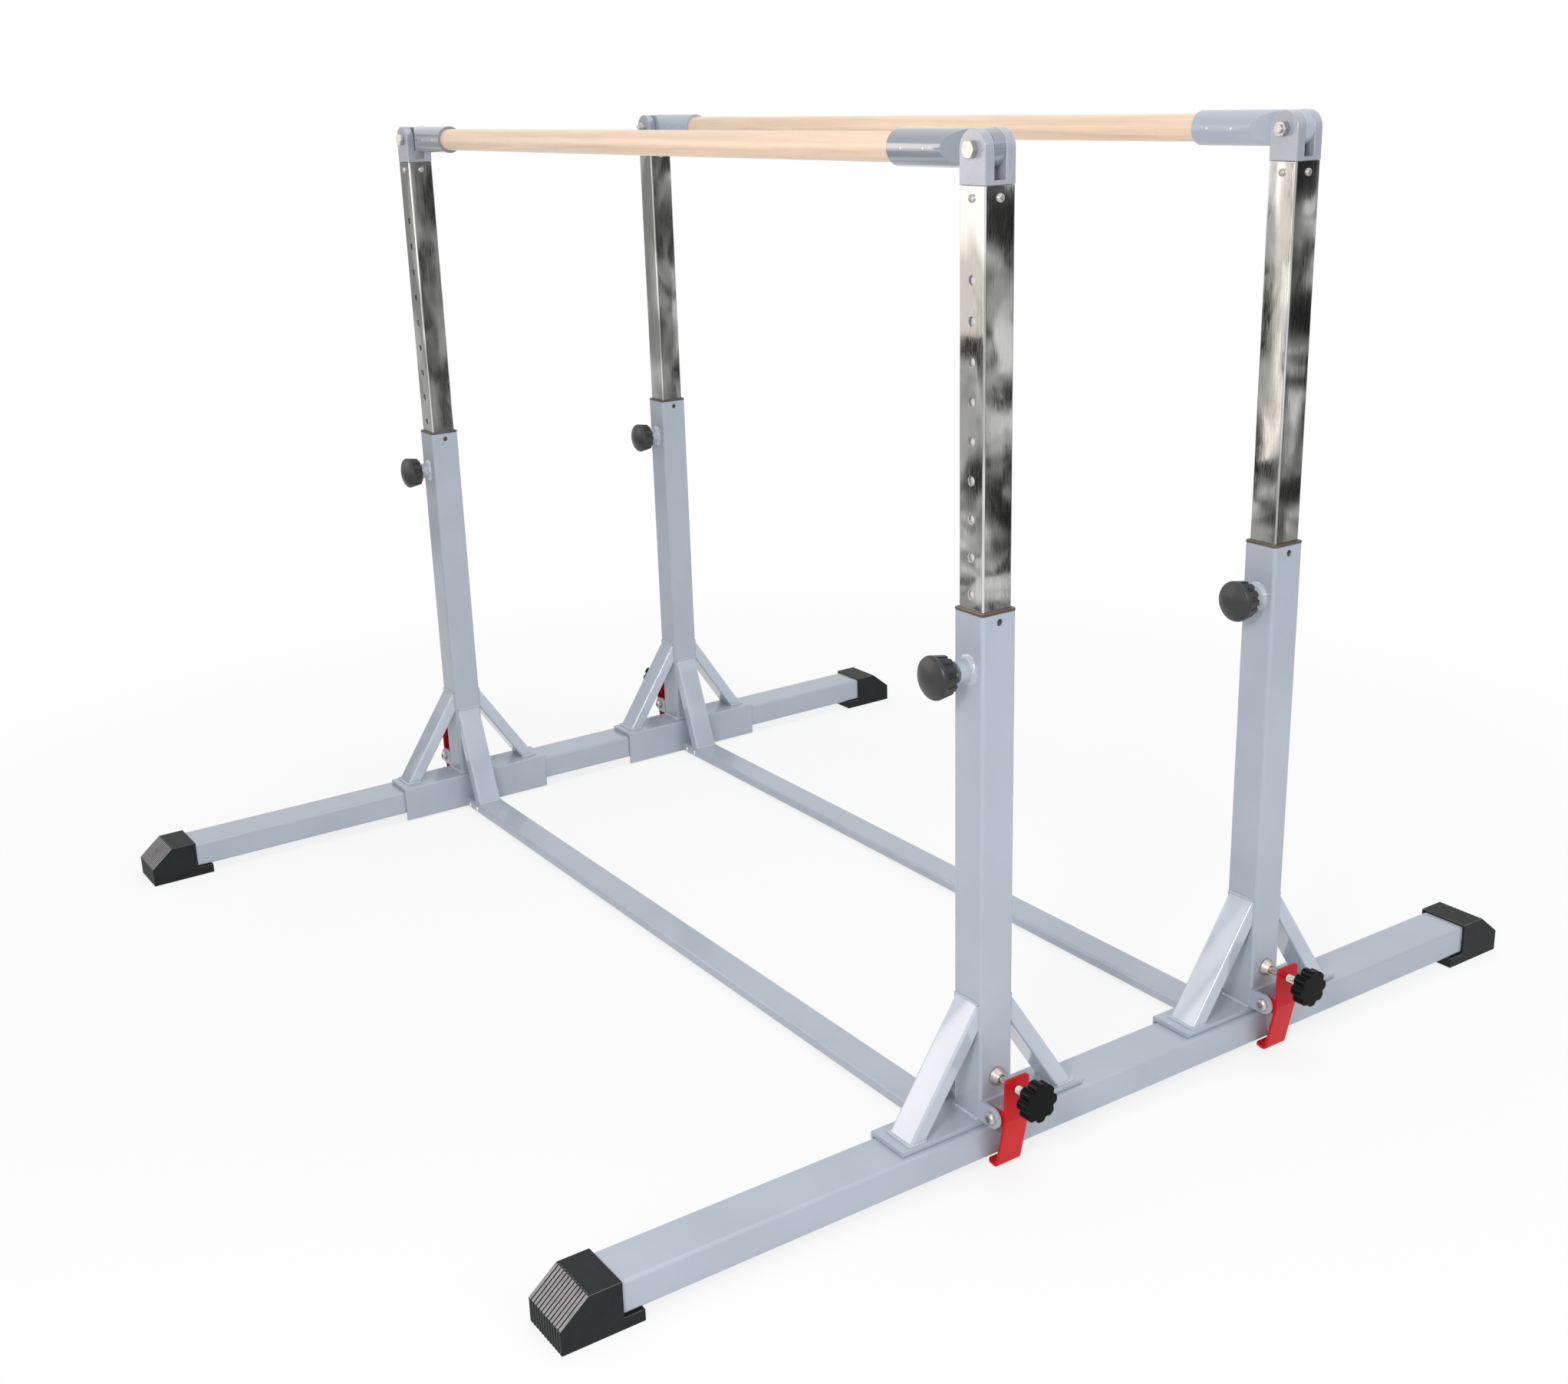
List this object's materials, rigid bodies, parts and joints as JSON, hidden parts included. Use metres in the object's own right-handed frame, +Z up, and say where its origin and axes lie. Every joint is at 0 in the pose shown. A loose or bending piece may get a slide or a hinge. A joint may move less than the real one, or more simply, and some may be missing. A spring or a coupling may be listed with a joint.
{
  "type": "horizontal and parallel bars",
  "caption": "Training bars: two wooden bars on telescoping posts, on two frames that slide along base rails and are locked by clamp levers with star knobs.",
  "frame": {"origin": "on the floor, at the centre of the rectangle of the two base rails", "axes": "+X along the bars towards the near rail, +Y along the base rails towards the rear frame, +Z up"},
  "size_m": [2.027, 1.874, 1.456],
  "materials": {
    "grey_coat": "smooth powder coat, semi-gloss",
    "red_coat": "powder coat, semi-gloss",
    "chrome": "polished",
    "zinc": "zinc plated",
    "brass": "turned",
    "wood": "sanded, thin clear lacquer",
    "rubber": "matte",
    "black_plastic": "satin",
    "gloss_black": "glossy"
  },
  "bodies": {
    "base": {"near_base_rail": "grey_coat", "far_base_rail": "grey_coat", "near_front_end_cap": "rubber", "near_rear_end_cap": "rubber", "far_front_end_cap": "rubber", "far_rear_end_cap": "rubber"},
    "front_frame": {"front_near_post": "grey_coat", "front_near_saddle": "grey_coat", "front_near_plunger_bush": "brass", "front_near_clamp_bolt": "zinc", "front_far_post": "grey_coat", "front_far_saddle": "grey_coat", "front_far_plunger_bush": "brass", "front_far_clamp_bolt": "zinc", "front_floor_tube": "grey_coat"},
    "front_near_lift": {"front_near_inner_tube": "chrome", "front_near_clevis": "grey_coat", "front_near_pivot_bolt": "zinc"},
    "front_tilting_bar": {"front_bar": "wood", "front_near_bar_socket": "grey_coat", "front_far_bar_socket": "grey_coat"},
    "front_far_lift": {"front_far_inner_tube": "chrome", "front_far_clevis": "grey_coat", "front_far_pivot_bolt": "zinc"},
    "front_near_pull_plunger": {"front_near_plunger": "black_plastic"},
    "front_near_lever": {"front_near_clamp_lever": "red_coat"},
    "front_near_pad": {"front_near_clamp_pad": "chrome"},
    "front_near_screw": {"front_near_clamp_knob": "gloss_black"},
    "front_far_pull_plunger": {"front_far_plunger": "black_plastic"},
    "front_far_lever": {"front_far_clamp_lever": "red_coat"},
    "front_far_pad": {"front_far_clamp_pad": "chrome"},
    "front_far_screw": {"front_far_clamp_knob": "gloss_black"},
    "rear_frame": {"rear_near_post": "grey_coat", "rear_near_saddle": "grey_coat", "rear_near_plunger_bush": "brass", "rear_near_clamp_bolt": "zinc", "rear_far_post": "grey_coat", "rear_far_saddle": "grey_coat", "rear_far_plunger_bush": "brass", "rear_far_clamp_bolt": "zinc", "rear_floor_tube": "grey_coat"},
    "rear_near_lift": {"rear_near_inner_tube": "chrome", "rear_near_clevis": "grey_coat", "rear_near_pivot_bolt": "zinc"},
    "rear_tilting_bar": {"rear_bar": "wood", "rear_near_bar_socket": "grey_coat", "rear_far_bar_socket": "grey_coat"},
    "rear_far_lift": {"rear_far_inner_tube": "chrome", "rear_far_clevis": "grey_coat", "rear_far_pivot_bolt": "zinc"},
    "rear_near_pull_plunger": {"rear_near_plunger": "black_plastic"},
    "rear_near_lever": {"rear_near_clamp_lever": "red_coat"},
    "rear_near_pad": {"rear_near_clamp_pad": "chrome"},
    "rear_near_screw": {"rear_near_clamp_knob": "gloss_black"},
    "rear_far_pull_plunger": {"rear_far_plunger": "black_plastic"},
    "rear_far_lever": {"rear_far_clamp_lever": "red_coat"},
    "rear_far_pad": {"rear_far_clamp_pad": "chrome"},
    "rear_far_screw": {"rear_far_clamp_knob": "gloss_black"}
  },
  "joints": [
    {"name": "front_frame_slide", "type": "slide", "parent": "base", "child": "front_frame", "axis": [0, 1, 0], "range_m": [-0.43, 0.1]},
    {"name": "front_near_height", "type": "slide", "parent": "front_frame", "child": "front_near_lift", "axis": [0, 0, 1], "range_m": [-0.4635, 0.0515]},
    {"name": "front_bar_tilt", "type": "hinge", "parent": "front_near_lift", "child": "front_tilting_bar", "pos_m": [0.8865, -0.212, 1.431], "axis": [0, 1, 0], "range_deg": [-1.66, 1.66]},
    {"name": "front_far_pivot", "type": "hinge", "parent": "front_tilting_bar", "child": "front_far_lift", "pos_m": [-0.8865, -0.212, 1.431], "axis": [0, 1, 0], "range_deg": [-1.66, 1.66]},
    {"name": "front_near_plunger_pull", "type": "slide", "parent": "front_frame", "child": "front_near_pull_plunger", "axis": [0, -1, 0], "range_m": [-0.018, 0]},
    {"name": "front_near_lever_pivot", "type": "hinge", "parent": "front_frame", "child": "front_near_lever", "pos_m": [0.9408, -0.212, 0.093], "axis": [0, -1, 0], "range_deg": [0, 6.01]},
    {"name": "front_near_pad_travel", "type": "slide", "parent": "front_near_lever", "child": "front_near_pad", "axis": [1, 0, 0], "range_m": [0, 0.00657]},
    {"name": "front_near_clamp_screw", "type": "hinge", "parent": "front_near_pad", "child": "front_near_screw", "pos_m": [0.9865, -0.212, 0.141], "axis": [1, 0, 0], "range_deg": [0, 1350]},
    {"name": "front_far_plunger_pull", "type": "slide", "parent": "front_frame", "child": "front_far_pull_plunger", "axis": [0, -1, 0], "range_m": [-0.0055, 0.0125]},
    {"name": "front_far_lever_pivot", "type": "hinge", "parent": "front_frame", "child": "front_far_lever", "pos_m": [-0.9408, -0.212, 0.093], "axis": [0, 1, 0], "range_deg": [0, 6.01]},
    {"name": "front_far_pad_travel", "type": "slide", "parent": "front_far_lever", "child": "front_far_pad", "axis": [-1, 0, 0], "range_m": [0, 0.00657]},
    {"name": "front_far_clamp_screw", "type": "hinge", "parent": "front_far_pad", "child": "front_far_screw", "pos_m": [-0.9865, -0.212, 0.141], "axis": [-1, 0, 0], "range_deg": [0, 1350]},
    {"name": "rear_frame_slide", "type": "slide", "parent": "base", "child": "rear_frame", "axis": [0, 1, 0], "range_m": [-0.1, 0.29]},
    {"name": "rear_near_height", "type": "slide", "parent": "rear_frame", "child": "rear_near_lift", "axis": [0, 0, 1], "range_m": [-0.4635, 0.0515]},
    {"name": "rear_bar_tilt", "type": "hinge", "parent": "rear_near_lift", "child": "rear_tilting_bar", "pos_m": [0.8865, 0.351, 1.431], "axis": [0, 1, 0], "range_deg": [-1.66, 1.66]},
    {"name": "rear_far_pivot", "type": "hinge", "parent": "rear_tilting_bar", "child": "rear_far_lift", "pos_m": [-0.8865, 0.351, 1.431], "axis": [0, 1, 0], "range_deg": [-1.66, 1.66]},
    {"name": "rear_near_plunger_pull", "type": "slide", "parent": "rear_frame", "child": "rear_near_pull_plunger", "axis": [0, -1, 0], "range_m": [0, 0.0125]},
    {"name": "rear_near_lever_pivot", "type": "hinge", "parent": "rear_frame", "child": "rear_near_lever", "pos_m": [0.9408, 0.351, 0.093], "axis": [0, -1, 0], "range_deg": [0, 6.01]},
    {"name": "rear_near_pad_travel", "type": "slide", "parent": "rear_near_lever", "child": "rear_near_pad", "axis": [1, 0, 0], "range_m": [0, 0.00657]},
    {"name": "rear_near_clamp_screw", "type": "hinge", "parent": "rear_near_pad", "child": "rear_near_screw", "pos_m": [0.9865, 0.351, 0.141], "axis": [1, 0, 0], "range_deg": [0, 1350]},
    {"name": "rear_far_plunger_pull", "type": "slide", "parent": "rear_frame", "child": "rear_far_pull_plunger", "axis": [0, -1, 0], "range_m": [0, 0.0125]},
    {"name": "rear_far_lever_pivot", "type": "hinge", "parent": "rear_frame", "child": "rear_far_lever", "pos_m": [-0.9408, 0.351, 0.093], "axis": [0, 1, 0], "range_deg": [0, 6.01]},
    {"name": "rear_far_pad_travel", "type": "slide", "parent": "rear_far_lever", "child": "rear_far_pad", "axis": [-1, 0, 0], "range_m": [0, 0.00657]},
    {"name": "rear_far_clamp_screw", "type": "hinge", "parent": "rear_far_pad", "child": "rear_far_screw", "pos_m": [-0.9865, 0.351, 0.141], "axis": [-1, 0, 0], "range_deg": [0, 1350]}
  ],
  "couplings": [
    {"joint": "front_far_pivot", "follows": "front_bar_tilt", "ratio": -1},
    {"joint": "front_near_lever_pivot", "follows": "front_near_clamp_screw", "ratio": 0.0044444},
    {"joint": "front_near_pad_travel", "follows": "front_near_clamp_screw", "m_per_rad": 0.00027842},
    {"joint": "front_far_lever_pivot", "follows": "front_far_clamp_screw", "ratio": 0.0044444},
    {"joint": "front_far_pad_travel", "follows": "front_far_clamp_screw", "m_per_rad": 0.00027842},
    {"joint": "rear_far_pivot", "follows": "rear_bar_tilt", "ratio": -1},
    {"joint": "rear_near_lever_pivot", "follows": "rear_near_clamp_screw", "ratio": 0.0044444},
    {"joint": "rear_near_pad_travel", "follows": "rear_near_clamp_screw", "m_per_rad": 0.00027842},
    {"joint": "rear_far_lever_pivot", "follows": "rear_far_clamp_screw", "ratio": 0.0044444},
    {"joint": "rear_far_pad_travel", "follows": "rear_far_clamp_screw", "m_per_rad": 0.00027842}
  ]
}
